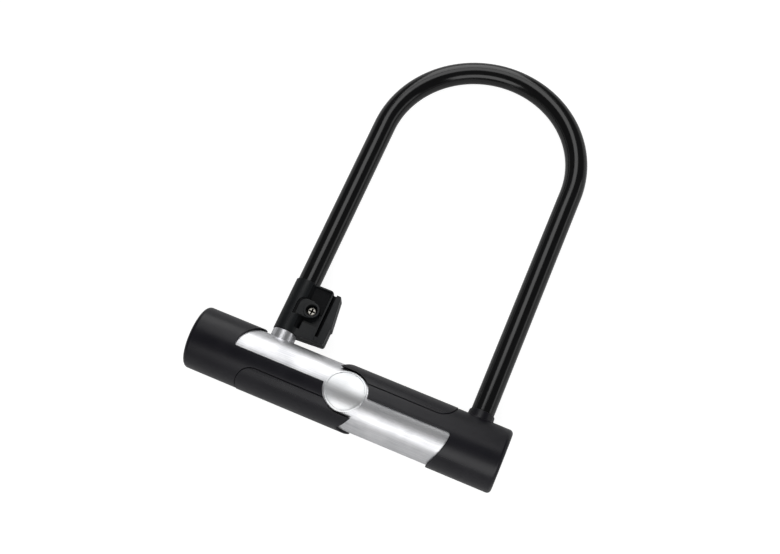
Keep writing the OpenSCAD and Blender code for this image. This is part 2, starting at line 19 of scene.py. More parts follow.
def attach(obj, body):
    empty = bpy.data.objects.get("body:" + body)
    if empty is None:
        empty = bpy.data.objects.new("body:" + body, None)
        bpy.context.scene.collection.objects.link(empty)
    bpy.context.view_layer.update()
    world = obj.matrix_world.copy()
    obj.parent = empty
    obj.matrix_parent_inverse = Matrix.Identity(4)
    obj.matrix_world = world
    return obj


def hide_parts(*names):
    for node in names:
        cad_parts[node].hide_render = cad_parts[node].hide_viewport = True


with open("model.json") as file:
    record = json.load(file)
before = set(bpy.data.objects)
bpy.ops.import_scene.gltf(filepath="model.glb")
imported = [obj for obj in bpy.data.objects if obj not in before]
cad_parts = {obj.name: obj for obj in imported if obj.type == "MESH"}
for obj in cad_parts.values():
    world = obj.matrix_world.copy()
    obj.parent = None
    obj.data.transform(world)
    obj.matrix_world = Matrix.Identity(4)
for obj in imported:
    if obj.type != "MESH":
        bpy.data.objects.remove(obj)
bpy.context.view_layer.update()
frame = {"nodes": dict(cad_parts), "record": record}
LOG = logging.getLogger("u_lock")
MM = 0.001
Point = tuple[float, float]
Place = tuple[float, float, float]
Piece = bpy.types.Object

# How far a cutting shape stands out past the piece that it cuts
PAST = 1.0
# How close to a place a corner or a face counts as lying there
NEAR = 0.05
# Edges shorter than this are left over from a cut, and are merged
SLIVER = 0.004
# How many sides a round has: the crossbar, a disc, a head and a hole
BAR_SIDES = 192
DISC_SIDES = 128
HEAD_SIDES = 64
HOLE_SIDES = 48
# The Mix node's colour sockets by number, as their names repeat: the factor, both tones and the result
MIX_FACTOR, MIX_ONE, MIX_TWO, MIX_SHOWN = 0, 6, 7, 2
# The slot of a piece's second finish, which paints shade into its hollows
SHADE_SLOT = 1


@dataclass(frozen=True)
class Sizes:
    """Sizes of the lock in millimetres, the same as its solids have."""

    # The shackle: its legs, the holes for them, its vinyl coat and the bow's middle line
    left_leg_x: float = -50.95
    right_leg_x: float = 78.25
    leg_hole_r: float = 6.8
    coat_r: float = 7.1
    coat_y: float = 23.2
    bow_r: float = 64.6
    bow_y: float = 178.2
    # The crossbar: half its length with and without covers, and its radii from the bore to the grip panels
    half_l: float = 99.55
    tube_half: float = 97.05
    bore_r: float = 15.3
    tube_r: float = 18.3
    cover_in_r: float = 18.35
    cover_r: float = 19.7
    panel_r: float = 20.0
    # The plate at the keyed end, which is let into the left cover
    key_plate_r: float = 13.4

    @property
    def bow_x(self) -> float:
        """Middle of the bow along the crossbar."""
        return (self.left_leg_x + self.right_leg_x) / 2

    def laying(self) -> Matrix:
        """Give the matrix that lays the lock on its back.

        Returns:
            The matrix from the lock's own axes to the frame, in metres.
        """
        top = self.bow_y + self.bow_r
        tilt = math.asin((self.cover_r - self.coat_r) / top)
        shift = (self.panel_r - top * math.cos(tilt) - self.coat_r) / 2
        return Matrix.Translation((0, shift * MM, self.cover_r * MM)) @ Matrix.Rotation(-tilt, 4, "X")


LOCK = Sizes()
LAID = LOCK.laying()


class Axis(Enum):
    """Direction of a round bar, with the turn that brings a standing bar there."""

    X = (0.0, math.pi / 2, 0.0)
    Y = (-math.pi / 2, 0.0, 0.0)
    Z = (0.0, 0.0, 0.0)


class Pick(Enum):
    """What is selected in edit mode."""

    CORNERS = "VERT"
    EDGES = "EDGE"
    FACES = "FACE"


class Cut(Enum):
    """How two shapes are combined."""

    ADD = "UNION"
    TAKE = "DIFFERENCE"
    KEEP = "INTERSECT"


def arc(centre: Point, radius: float, start: float, end: float, steps: int = 24) -> list[Point]:
    """Give points along an arc.

    Args:
        centre: The arc's centre.
        radius: The arc's radius.
        start: The first angle, in degrees.
        end: The last angle, in degrees.
        steps: How many straight pieces the arc has.

    Returns:
        The points, both ends included.
    """
    turns = [math.radians(start + (end - start) * i / steps) for i in range(steps + 1)]
    return [(centre[0] + radius * math.cos(t), centre[1] + radius * math.sin(t)) for t in turns]


class Bench:
    """Blender's own tools, used as by hand. Lengths are in millimetres."""

    @staticmethod
    def clear() -> None:
        """Leave edit mode and deselect everything."""
        if bpy.context.object and bpy.context.object.mode != "OBJECT":
            bpy.ops.object.mode_set(mode="OBJECT")
        bpy.ops.object.select_all(action="DESELECT")

    @classmethod
    def take(cls, piece: Piece) -> Piece:
        """Select one piece alone and make it active.

        Args:
            piece: The piece.

        Returns:
            The piece.
        """
        cls.clear()
        piece.select_set(True)
        bpy.context.view_layer.objects.active = piece
        return piece

    @staticmethod
    def named(name: str) -> Piece:
        """Name the active piece and put its place into its mesh.

        Args:
            name: The piece's name.

        Returns:
            The piece.
        """
        piece = bpy.context.object
        piece.name = name
        piece.data.name = name
        bpy.ops.object.transform_apply(location=True, rotation=True, scale=True)
        return piece

    @classmethod
    def bar(
        cls,
        axis: Axis,
        ends: Point,
        radius: float,
        at: Place = (0, 0, 0),
        sides: int = 96,
        tip: float | None = None,
    ) -> Piece:
        """Add a round bar or a cone.

        Args:
            axis: The bar's direction.
            ends: Where the bar starts and ends along its axis.
            radius: The bar's radius at its start.
            at: A point on the bar's axis.
            sides: How many sides the bar has.
            tip: The radius at its end, where that differs.

        Returns:
            The new piece.
        """
        cls.clear()
        way = {Axis.X: Vector((1, 0, 0)), Axis.Y: Vector((0, 1, 0)), Axis.Z: Vector((0, 0, 1))}[axis]
        place = (Vector(at) + way * (ends[0] + ends[1]) / 2) * MM
        bpy.ops.mesh.primitive_cone_add(
            vertices=sides,
            radius1=radius * MM,
            radius2=(radius if tip is None else tip) * MM,
            depth=(ends[1] - ends[0]) * MM,
            location=place,
            rotation=axis.value,
        )
        return cls.named("bar")

    @classmethod
    def block(cls, low: Place, high: Place) -> Piece:
        """Add a box.

        Args:
            low: Its lowest corner.
            high: Its highest corner.

        Returns:
            The new piece.
        """
        cls.clear()
        a, b = Vector(low), Vector(high)
        bpy.ops.mesh.primitive_cube_add(size=1, location=(a + b) / 2 * MM, scale=(b - a) * MM)
        return cls.named("block")

    @classmethod
    def slab(cls, outline: Sequence[Point], low: float, high: float) -> Piece:
        """Add a plate with any outline, standing along Z.

        Args:
            outline: The corners, counter-clockwise.
            low: The plate's lower face.
            high: The plate's upper face.

        Returns:
            The new piece.
        """
        cls.clear()
        bpy.ops.mesh.primitive_circle_add(vertices=len(outline), radius=MM, fill_type="NGON")
        piece = cls.named("slab")
        for corner, (x, y) in zip(piece.data.vertices, outline):
            corner.co = Vector((x, y, low)) * MM
        cls.edit(piece)
        bpy.ops.mesh.extrude_region_move(TRANSFORM_OT_translate={"value": (0, 0, (high - low) * MM)})
        bpy.ops.mesh.select_all(action="SELECT")
        bpy.ops.mesh.normals_make_consistent(inside=False)
        cls.clear()
        return piece

    @classmethod
    def turn(cls, piece: Piece, angles: Place) -> Piece:
        """Turn a piece about the origin, by angles about X, Y and Z in radians, and give it back."""
        cls.take(piece).rotation_euler = angles
        return cls.named(piece.name)

    @classmethod
    def edit(
        cls, piece: Piece, pick: Callable[[Vector], bool] | None = None, kind: Pick = Pick.CORNERS
    ) -> None:
        """Open a piece in edit mode with some of it selected.

        Args:
            piece: The piece.
            pick: Which corners to select, by place in millimetres; all of them if left out.
            kind: The kind of element that is selected.
        """
        cls.take(piece)
        bpy.ops.object.mode_set(mode="EDIT")
        bpy.ops.mesh.select_mode(type=Pick.CORNERS.value)
        bpy.ops.mesh.select_all(action="SELECT" if pick is None else "DESELECT")
        if pick is not None:
            bpy.ops.object.mode_set(mode="OBJECT")
            for corner in piece.data.vertices:
                corner.select = pick(corner.co / MM)
            bpy.ops.object.mode_set(mode="EDIT")
        bpy.ops.mesh.select_mode(type=kind.value)

    @classmethod
    def combine(cls, piece: Piece, how: Cut, *tools: Piece) -> Piece:
        """Add tools to a piece, take them from it, or keep what they share.

        Args:
            piece: The piece that stays.
            how: What is done.
            tools: The shapes that are used up.

        Returns:
            The piece.
        """
        for tool in tools:
            cls.take(piece)
            modifier = piece.modifiers.new("cut", "BOOLEAN")
            modifier.operation = how.value
            modifier.solver = "EXACT"
            modifier.object = tool
            bpy.ops.object.modifier_apply(modifier=modifier.name)
            bpy.data.meshes.remove(tool.data)
        return piece

    @classmethod
    def round_off(cls, piece: Piece, pick: Callable[[Vector], bool], width: float, segments: int) -> Piece:
        """Round the edges that lie at a place.

        Args:
            piece: The piece.
            pick: Which corners the edges have, by place in millimetres.
            width: The width of the rounding.
            segments: How many faces the rounding has.

        Returns:
            The piece.
        """
        cls.edit(piece, pick, Pick.EDGES)
        bpy.ops.mesh.bevel(offset=width * MM, segments=segments, affect="EDGES")
        cls.clear()
        return piece

    @classmethod
    def thicken(cls, piece: Piece, wall: float) -> Piece:
        """Give a sheet a wall, inwards from its outer face.

        Args:
            piece: The sheet.
            wall: The wall's thickness.

        Returns:
            The piece.
        """
        modifier = cls.take(piece).modifiers.new("wall", "SOLIDIFY")
        modifier.thickness = wall * MM
        modifier.offset = -1
        bpy.ops.object.modifier_apply(modifier=modifier.name)
        return piece

    @classmethod
    def soften(cls, piece: Piece, width: float, segments: int = 2, angle: float = 40) -> Piece:
        """Round a piece's sharp edges.

        Args:
            piece: The piece.
            width: The width of the rounding.
            segments: How many faces the rounding has.
            angle: Edges sharper than this many degrees are rounded.

        Returns:
            The piece.
        """
        cls.edit(piece)
        bpy.ops.mesh.remove_doubles(threshold=SLIVER * MM)
        bpy.ops.mesh.dissolve_degenerate(threshold=SLIVER * MM)
        cls.take(piece)
        modifier = piece.modifiers.new("soft_edges", "BEVEL")
        modifier.width = width * MM
        modifier.segments = segments
        modifier.limit_method = "ANGLE"
        modifier.angle_limit = math.radians(angle)
        modifier.use_clamp_overlap = False
        modifier.miter_outer = "MITER_ARC"
        bpy.ops.object.modifier_apply(modifier=modifier.name)
        return piece

    @classmethod
    def lay(cls, piece: Piece, name: str, place: Matrix = LAID, smooth: float = 38) -> Piece:
        """Name a piece, smooth it and lay it in the frame.

        Args:
            piece: The piece.
            name: The piece's name.
            place: The matrix that lays it.
            smooth: Edges flatter than this many degrees are shaded smooth.

        Returns:
            The piece.
        """
        cls.take(piece)
        piece.matrix_world = place
        cls.named(name)
        bpy.ops.object.shade_smooth_by_angle(angle=math.radians(smooth))
        modifier = piece.modifiers.new("even_shading", "WEIGHTED_NORMAL")
        modifier.keep_sharp = True
        bpy.ops.object.modifier_apply(modifier=modifier.name)
        return piece


def linear(colour: str) -> tuple[float, float, float, float]:
    """Turn an sRGB hex colour to linear.

    Args:
        colour: The colour, such as "#2b2b2e".

    Returns:
        The linear colour with full alpha.
    """
    parts = [int(colour[i : i + 2], 16) / 255 for i in (1, 3, 5)]
    return (*[c / 12.92 if c <= 0.04045 else ((c + 0.055) / 1.055) ** 2.4 for c in parts], 1.0)


def add(
    tree: bpy.types.NodeTree, kind: str, links: dict[str | int, object] | None = None, **settings: object
) -> bpy.types.Node:
    """Add a node with its settings and links.

    Args:
        tree: The node tree.
        kind: The node's type name.
        links: Input name or number to the output socket that feeds it, or to its value.
        settings: Properties of the node itself.

    Returns:
        The new node.
    """
    node = tree.nodes.new(kind)
    for key, value in settings.items():
        setattr(node, key, value)
    for key, value in (links or {}).items():
        if isinstance(value, bpy.types.NodeSocket):
            tree.links.new(value, node.inputs[key])
        else:
            node.inputs[key].default_value = value
    return node


@dataclass(frozen=True)
class Finish:
    """A surface as its maker leaves it: colour, gloss and the marks of its making.

    The grain is noise of a real size, drawn out along an axis where the surface is brushed or turned.
    """

    # How finely grain and mottle break up
    GRAIN_DETAIL: ClassVar[float] = 3.0
    GRAIN_BREAK: ClassVar[float] = 0.55
    MOTTLE_DETAIL: ClassVar[float] = 4.0
    # The levels of grain and mottle together at which each tone shows alone
    TONES: ClassVar[Point] = (0.12, 0.4)
    # How sharp an edge is where its wear starts and ends, and how much of the worn tone then shows
    WEAR: ClassVar[Point] = (0.53, 0.6)
    WORN: ClassVar[float] = 0.6
    # The levels of the mottle at which the surface is most and least glossy
    HAZE: ClassVar[Point] = (0.3, 0.7)

    # The material's name and the two tones that its grain mixes
    name: str
    colour: str
    second: str
    # Where it is glossiest and where it is dullest
    roughness: tuple[float, float]
    # The size of the grain and the height of its relief
    grain_mm: float
    relief_mm: float
    metallic: float = 0.0
    specular: float = 0.5
    # The scale of the grain along X, Y and Z: below one, it is drawn out
    draw_out: tuple[float, float, float] = (1.0, 1.0, 1.0)
    mottle_mm: float = 14.0
    # The tone of worn edges, where there are any
    edge: str = ""

    def material(self) -> bpy.types.Material:
        """Build the finish once and give it back.

        Returns:
            The material.
        """
        known = bpy.data.materials.get(self.name)
        if known:
            return known
        material = bpy.data.materials.new(self.name)
        material.use_nodes = True
        tree = material.node_tree
        tree.nodes.clear()
        place = add(tree, "ShaderNodeTexCoord").outputs["Object"]
        drawn = add(tree, "ShaderNodeMapping", {"Vector": place, "Scale": self.draw_out}).outputs["Vector"]
        fine = {
            "Vector": drawn,
            "Scale": 1 / (self.grain_mm * MM),
            "Detail": self.GRAIN_DETAIL,
            "Roughness": self.GRAIN_BREAK,
        }
        grain = add(tree, "ShaderNodeTexNoise", fine).outputs["Fac"]
        broad = {"Vector": place, "Scale": 1 / (self.mottle_mm * MM), "Detail": self.MOTTLE_DETAIL}
        mottle = add(tree, "ShaderNodeTexNoise", broad).outputs["Fac"]
        both = add(tree, "ShaderNodeMath", {0: grain, 1: mottle}, operation="MULTIPLY").outputs[0]
        levels = {"Value": both, "From Min": self.TONES[0], "From Max": self.TONES[1]}
        spread = add(tree, "ShaderNodeMapRange", levels).outputs["Result"]
        tones = {MIX_FACTOR: spread, MIX_ONE: linear(self.colour), MIX_TWO: linear(self.second)}
        shown = add(tree, "ShaderNodeMix", tones, data_type="RGBA").outputs[MIX_SHOWN]
        if self.edge:
            bend = add(tree, "ShaderNodeNewGeometry").outputs["Pointiness"]
            levels = {"Value": bend, "From Min": self.WEAR[0], "From Max": self.WEAR[1], "To Max": self.WORN}
            worn = add(tree, "ShaderNodeMapRange", levels).outputs["Result"]
            tones = {MIX_FACTOR: worn, MIX_ONE: shown, MIX_TWO: linear(self.edge)}
            shown = add(tree, "ShaderNodeMix", tones, data_type="RGBA").outputs[MIX_SHOWN]
        levels = {
            "Value": mottle,
            "From Min": self.HAZE[0],
            "From Max": self.HAZE[1],
            "To Min": self.roughness[0],
            "To Max": self.roughness[1],
        }
        gloss = add(tree, "ShaderNodeMapRange", levels).outputs["Result"]
        swell = {"Height": grain, "Distance": self.relief_mm * MM, "Strength": 1.0}
        relief = add(tree, "ShaderNodeBump", swell).outputs["Normal"]
        shader = add(
            tree,
            "ShaderNodeBsdfPrincipled",
            {
                "Base Color": shown,
                "Roughness": gloss,
                "Normal": relief,
                "Metallic": self.metallic,
                "Specular IOR Level": self.specular,
            },
        )
        add(tree, "ShaderNodeOutputMaterial", {"Surface": shader.outputs["BSDF"]})
        return material

    def dress(self, *pieces: Piece) -> None:
        """Give pieces this finish alone.

        Args:
            pieces: The pieces.
        """
        for piece in pieces:
            piece.data.materials.clear()
            piece.data.materials.append(self.material())


# Satin stainless tube: lines brushed along it, drawn coarser than real, spread what it mirrors round it
SATIN_STEEL = Finish(
    "satin_stainless_tube", "#f6f6f8", "#d6d7da",
    roughness=(0.38, 0.46), grain_mm=0.8, relief_mm=0.01, metallic=1.0, draw_out=(0.025, 1.0, 1.0),
)
# Moulded elastomer: near-black and satin, with a spark-eroded grain drawn coarser than real
MOULDED_RUBBER = Finish(
    "moulded_black_elastomer", "#0e0d14", "#131219",
    roughness=(0.32, 0.4), grain_mm=0.7, relief_mm=0.004, specular=0.38, edge="#1c1c20",
)
# Brushed aluminium badge: straight lines along the crossbar, drawn coarser than real
BRUSHED_BADGE = Finish(
    "brushed_aluminium_badge", "#f8f9fa", "#eceef0",
    roughness=(0.42, 0.48), grain_mm=0.7, relief_mm=0.006, metallic=1.0, draw_out=(0.04, 1.0, 1.0),
)
# Satin chrome plate: mirrors its surroundings through a soft haze
CHROME = Finish(
    "satin_chrome_plate", "#f4f4f7", "#e9eaee",
    roughness=(0.32, 0.4), grain_mm=1.2, relief_mm=0.001, metallic=1.0,
)
# Die-cast zinc: dull grey with a coarse cast skin
CAST_ZINC = Finish(
    "die_cast_zinc", "#9a9b9e", "#84868a",
    roughness=(0.42, 0.58), grain_mm=0.8, relief_mm=0.01, metallic=1.0, edge="#b9bbbe",
)
# Zinc-plated fasteners: bright with a slight warm cast
PLATED_STEEL = Finish(
    "zinc_plated_steel", "#b4b1a9", "#9a968d",
    roughness=(0.3, 0.42), grain_mm=0.4, relief_mm=0.002, metallic=1.0, edge="#cbc8c0",
)
# Painted shade in the screw's cross: near-black zinc that stands in for the shade deep in the cross
SHADED_CROSS_ZINC = Finish(
    "cross_shade_zinc_plate", "#17150f", "#1f1c15",
    roughness=(0.5, 0.6), grain_mm=0.4, relief_mm=0.002, metallic=1.0,
)
# Machined brass: fine turned lines and a warm tone
TURNED_BRASS = Finish(
    "turned_brass", "#cda857", "#b48f42",
    roughness=(0.2, 0.32), grain_mm=0.4, relief_mm=0.002, metallic=1.0, draw_out=(1.0, 0.06, 0.06),
)
# Hardened tool steel: grey with an oil-dark cast
HARDENED_STEEL = Finish(
    "hardened_steel", "#8d8f93", "#75777b",
    roughness=(0.28, 0.42), grain_mm=0.4, relief_mm=0.003, metallic=1.0, edge="#b4b6b9",
)
# Bare drawn rod: lines along the legs
DRAWN_ROD = Finish(
    "drawn_steel_rod", "#a7a9ac", "#94969a",
    roughness=(0.24, 0.36), grain_mm=0.4, relief_mm=0.002, metallic=1.0, draw_out=(1.0, 0.05, 1.0),
)
# Dipped vinyl: glossy black with a soft orange-peel swell
DIPPED_VINYL = Finish(
    "dipped_black_vinyl", "#040405", "#070708",
    roughness=(0.13, 0.18), grain_mm=3.5, relief_mm=0.004,
)
# Moulded nylon: black, with a fine even grain and a dull shine
MOULDED_NYLON = Finish(
    "moulded_black_nylon", "#06090b", "#0b0f12",
    roughness=(0.36, 0.46), grain_mm=0.6, relief_mm=0.01, specular=0.36, edge="#202124",
)
# Painted shade: the floors and walls of pockets, slots and the tab's groove get a duller, less reflective
# black than the outer faces, standing in for the shade that falls in them
SHADED_RECESS_NYLON = Finish(
    "recess_shade_black_nylon", "#07080a", "#0a0b0d",
    roughness=(0.55, 0.65), grain_mm=0.8, relief_mm=0.004, specular=0.16,
)
# Moulded lid: black acetal with a dull shine
MOULDED_LID = Finish(
    "moulded_black_acetal", "#111113", "#18181a",
    roughness=(0.36, 0.46), grain_mm=0.5, relief_mm=0.005, edge="#2c2c30",
)


def mount(piece: Piece, body: str, slot: str, finish: Finish, *nodes: str) -> Piece:
    """Dress a piece and put it in the frame in place of its solids.

    Args:
        piece: The piece, already laid.
        body: The body that it moves with.
        slot: The record's material slot; not used.
        finish: The piece's finish, unless it is dressed already.
        nodes: The solids that it stands for.

    Returns:
        The piece.
    """
    if not piece.data.materials:
        finish.dress(piece)
    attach(piece, body)
    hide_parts(*nodes)
    LOG.info("%s: %d faces", piece.name, len(piece.data.polygons))
    return piece


@dataclass
class Cover:
    """A moulded cover: a cup over one end of the tube and a tongue past the badge."""

    # The cup's length, the curve of its edge round the window and the rounding of its end
    cup_l: float
    window_r: float
    window_round: float = 1.6
    end_round: float = 2.6
    edge_round: float = 0.3
    # Half the gap where both covers meet along the crossbar
    split: float = 0.2
    badge_hole_r: float = 13.6
    # The tongue: how far it runs past the badge's middle, its notch and its tip
    tongue_past: float = 9.0
    tongue_notch: float = 7.2
    notch_turn: float = 80.0
    # How many times as large as the notch its wedge is
    notch_past: float = 1.5
    tip_round: float = 1.0
    # The grip panel: its start from the cover's end, its long edge, its corner and its seat
    panel_setback: float = 35.4
    panel_edge: float = 8.9
    panel_round: float = 10.0
    pocket_d: float = 0.75
    panel_gap: float = 0.02
    groove: float = 0.35
    # Whether it sits at the right end, turned half round
    half_turn: bool = False
    # Half the height of a cutting plate, which passes the crossbar on both sides
    reach: float = 21.0
    corner_steps: int = 8
    window_steps: int = 28
    tip_steps: int = 5
    end_steps: int = 7
    edge_steps: int = 3

    def outline(self) -> list[Point]:
        """Give the cover's outline seen from the front, as for the left cover.

        Returns:
            The corners, counter-clockwise.
        """
        end = -LOCK.half_l + self.cup_l
        middle = end + self.window_r
        rise = self.window_round - self.split
        corner = middle - math.sqrt((self.window_r - self.window_round) ** 2 - rise**2)
        meet = math.degrees(math.atan2(rise, corner - middle))
        last = 180 - math.degrees(math.asin(self.reach / self.window_r))
        left = -LOCK.half_l - PAST
        return [
            (left, -self.reach),
            (self.tongue_past, -self.reach),
            (self.tongue_past, -self.split),
            *arc((corner, rise), self.window_round, 270, meet, self.corner_steps),
            *arc((middle, 0), self.window_r, meet, last, self.window_steps)[1:],
            (left, self.reach),
        ]

    def panel_outline(self, grow: float = 0.0) -> list[Point]:
        """Give the grip panel's outline seen from the front.

        Args:
            grow: How much wider the outline is drawn.

        Returns:
            The corners, counter-clockwise.
        """
        start = -LOCK.half_l + self.panel_setback - grow
        edge = grow - self.panel_edge
        radius = self.panel_round + grow
        past = self.tongue_past + PAST
        bend = arc((start + radius, edge - radius), radius, 90, 180)
        return [(start, -self.reach), (past, -self.reach), (past, edge), *bend]

    def notch(self) -> Piece:
        """Build the wedge that notches the tongue's end like a swallow's tail.

        Returns:
            The wedge, turned round the crossbar to the notch's place.
        """
        turn = math.radians(self.notch_turn)
        half = LOCK.panel_r * math.sin(turn - math.asin(self.badge_hole_r / LOCK.panel_r))
        point = self.tongue_past - self.tongue_notch
        wide, side = point + self.notch_past * self.tongue_notch, self.notch_past * half
        wedge = Bench.slab([(point, 0), (wide, -side), (wide, side)], LOCK.tube_r / 2, self.reach + 2 * PAST)
        return Bench.turn(wedge, (turn, 0, 0))

    def trim(self, blank: Piece, bore_r: float) -> Piece:
        """Cut a blank to the cover's outline, bore, badge hole and notched tip.

        Args:
            blank: A solid bar.
            bore_r: The radius of its bore.

        Returns:
            The blank, cut.
        """
        hole = self.badge_hole_r
        Bench.combine(blank, Cut.KEEP, Bench.slab(self.outline(), -self.reach, self.reach))
        Bench.combine(
            blank,
            Cut.TAKE,
            Bench.bar(Axis.X, (-LOCK.tube_half, LOCK.half_l + PAST), bore_r, sides=BAR_SIDES),
            Bench.bar(Axis.Z, (0, self.reach), hole),
            Bench.block((0, -hole, 0), (self.tongue_past + PAST, PAST, self.reach)),
            self.notch(),
        )
        tip = self.tongue_past - 2 * self.tip_round
        return Bench.round_off(
            blank,
            lambda p: p.x > tip and abs(p.y + hole) < NEAR and p.z > 0,
            self.tip_round,
            self.tip_steps,
        )

    def turned(self, piece: Piece) -> Piece:
        """Turn a piece to the right end, where the cover sits there."""
        return Bench.turn(piece, (0, 0, math.pi if self.half_turn else 0))

    def shell(self) -> Piece:
        """Build the cover's wall with its cut-outs and a shallow pocket for its grip panel.

        Returns:
            The cover.
        """
        ends = (-LOCK.half_l, LOCK.half_l)
        cover = Bench.bar(Axis.X, ends, LOCK.cover_r, sides=BAR_SIDES)
        Bench.round_off(cover, lambda p: p.x < NEAR - LOCK.half_l, self.end_round, self.end_steps)
        pocket = Bench.slab(self.panel_outline(self.groove), -self.reach, self.reach)
        floor = Bench.bar(Axis.X, ends, LOCK.cover_r - self.pocket_d, sides=BAR_SIDES)
        Bench.combine(pocket, Cut.TAKE, floor)
        Bench.combine(cover, Cut.TAKE, pocket)
        return self.turned(self.trim(cover, LOCK.cover_in_r))

    def set_panel(self, cover: Piece) -> Piece:
        """Set the raised grip panel into the cover's pocket, with a fine groove round it.

        Args:
            cover: The cover with its edges rounded.

        Returns:
            The cover with its panel.
        """
        ends = (-LOCK.half_l, self.tongue_past + PAST)
        panel = Bench.bar(Axis.X, ends, LOCK.panel_r, sides=BAR_SIDES)
        Bench.combine(panel, Cut.KEEP, Bench.slab(self.panel_outline(), -self.reach, self.reach))
        panel = self.turned(self.trim(panel, LOCK.cover_r - self.pocket_d + self.panel_gap))
        Bench.soften(panel, self.edge_round, self.edge_steps)
        Bench.take(cover)
        panel.select_set(True)
        bpy.ops.object.join()
        return cover


@dataclass
class Crossbar:
    """The crossbar as it shows: tube, covers, badge and the polished collar."""

    left: Cover = field(default_factory=lambda: Cover(28.1, 24.0))
    right: Cover = field(default_factory=lambda: Cover(33.4, 30.0, half_turn=True))
    # How much larger the radius of a hole is than that of what sits in it
    seat: float = 0.05
    tube_edge: float = 0.15
    edge_steps: int = 3
    # The polished collar round the left leg
    collar_r: float = 7.6
    collar_y: float = 12.3
    collar_top: float = 22.9
    collar_edge: float = 0.25
    # The collar that is moulded on the right cover, round the right leg
    seal_top_r: float = 7.9
    seal_foot_r: float = 10.1
    seal_top: float = 22.9
    seal_sink: float = 0.6
    seal_from: float = 50.0
    # The badge, with rings of faces that let its disc bend
    badge_r: float = 12.6
    badge_wall: float = 0.3
    ring_w: float = 1.0
    rings: int = 11
    # From the badge's edge inwards: distances in and heights above the tube, up the rim and down to the disc
    badge_profile: tuple[Point, ...] = (
        (0.0, 0.0), (0.0, 0.72), (0.06, 0.84), (0.2, 0.9), (1.0, 0.9), (1.12, 0.86), (1.2, 0.56), (1.3, 0.5),
    )
    # The least width of an inset, and what counts as no width at all
    least_w: float = 0.002
    no_w: float = 1e-6

    def tube(self) -> None:
        """Build the tube with its leg holes."""
        tube = Bench.bar(Axis.X, (-LOCK.tube_half, LOCK.tube_half), LOCK.tube_r, sides=BAR_SIDES)
        wall = (0, LOCK.tube_r + PAST)
        Bench.combine(
            tube,
            Cut.TAKE,
            Bench.bar(Axis.X, (-LOCK.half_l, LOCK.half_l), LOCK.bore_r, sides=BAR_SIDES),
            Bench.bar(Axis.Y, wall, self.collar_r + self.seat, at=(LOCK.left_leg_x, 0, 0)),
            Bench.bar(Axis.Y, wall, LOCK.leg_hole_r, at=(LOCK.right_leg_x, 0, 0)),
        )
        Bench.soften(tube, self.tube_edge)
        mount(Bench.lay(tube, "bare_tube"), "crossbar", "tube_steel", SATIN_STEEL, "crossbar_tube")

    def covers(self) -> None:
        """Build both covers, the right one turned round and with its leg collar."""
        left = self.left.shell()
        ends = (-LOCK.half_l - PAST, -LOCK.tube_half + PAST)
        Bench.combine(left, Cut.TAKE, Bench.bar(Axis.X, ends, LOCK.key_plate_r + self.seat))
        Bench.soften(left, self.left.edge_round, self.edge_steps)
        self.left.set_panel(left)
        mount(Bench.lay(left, "left_end_cover"), "crossbar", "cover_rubber", MOULDED_RUBBER, "left_cover")

        right = self.right.shell()
        leg = (LOCK.right_leg_x, 0, 0)
        collar = Bench.bar(Axis.Y, (0, self.seal_top), self.seal_foot_r, at=leg, tip=self.seal_top_r)
        ends = (self.seal_from, LOCK.half_l)
        core = Bench.bar(Axis.X, ends, LOCK.cover_in_r + self.seal_sink, sides=BAR_SIDES)
        Bench.combine(collar, Cut.TAKE, core)
        Bench.combine(right, Cut.ADD, collar)
        Bench.combine(right, Cut.TAKE, Bench.bar(Axis.Y, (0, self.seal_top + PAST), LOCK.leg_hole_r, at=leg))
        Bench.soften(right, self.right.edge_round, self.edge_steps)
        self.right.set_panel(right)
        mount(Bench.lay(right, "right_end_cover"), "crossbar", "cover_rubber", MOULDED_RUBBER, "right_cover")

    def collar(self) -> None:
        """Build the polished collar round the left leg."""
        at = (LOCK.left_leg_x, 0, 0)
        collar = Bench.bar(Axis.Y, (self.collar_y, self.collar_top), self.collar_r, at=at, sides=DISC_SIDES)
        bore = Bench.bar(Axis.Y, (0, self.collar_top + PAST), LOCK.leg_hole_r, at=at, sides=DISC_SIDES)
        Bench.combine(collar, Cut.TAKE, bore)
        Bench.soften(collar, self.collar_edge, self.edge_steps)
        mount(Bench.lay(collar, "polished_collar"), "crossbar", "polished_chrome", CHROME, "left_leg_collar")

    def badge(self) -> None:
        """Build the bare badge: a disc bent to the tube, with a raised rounded rim."""
        Bench.clear()
        bpy.ops.mesh.primitive_circle_add(vertices=DISC_SIDES, radius=self.badge_r * MM, fill_type="NGON")
        badge = Bench.named("badge")
        steps = [b[0] - a[0] for a, b in zip(self.badge_profile, self.badge_profile[1:])]
        Bench.edit(badge, kind=Pick.FACES)
        for step in [*steps, *[self.ring_w] * self.rings]:
            bpy.ops.mesh.inset(thickness=max(step, self.least_w) * MM)
        Bench.clear()
        for corner in badge.data.vertices:
            rise = self.height(self.badge_r - corner.co.to_2d().length / MM)
            bent = math.sqrt((LOCK.cover_in_r + rise) ** 2 - (corner.co.y / MM) ** 2)
            corner.co.z = bent * MM
        Bench.thicken(badge, self.badge_wall)
        mount(Bench.lay(badge, "bare_badge"), "crossbar", "badge_metal", BRUSHED_BADGE, "badge")

    def height(self, inner: float) -> float:
        """Give the badge's height at a distance in from its edge.

        Args:
            inner: The distance in.

        Returns:
            The height above the tube.
        """
        for (x0, h0), (x1, h1) in zip(self.badge_profile, self.badge_profile[1:]):
            if inner <= x1 + self.no_w:
                return h1 if x1 - x0 < self.no_w else h0 + (h1 - h0) * (inner - x0) / (x1 - x0)
        return self.badge_profile[-1][1]

    def build(self) -> None:
        """Build and dress all that shows of the crossbar."""
        self.tube()
        self.covers()
        self.collar()
        self.badge()


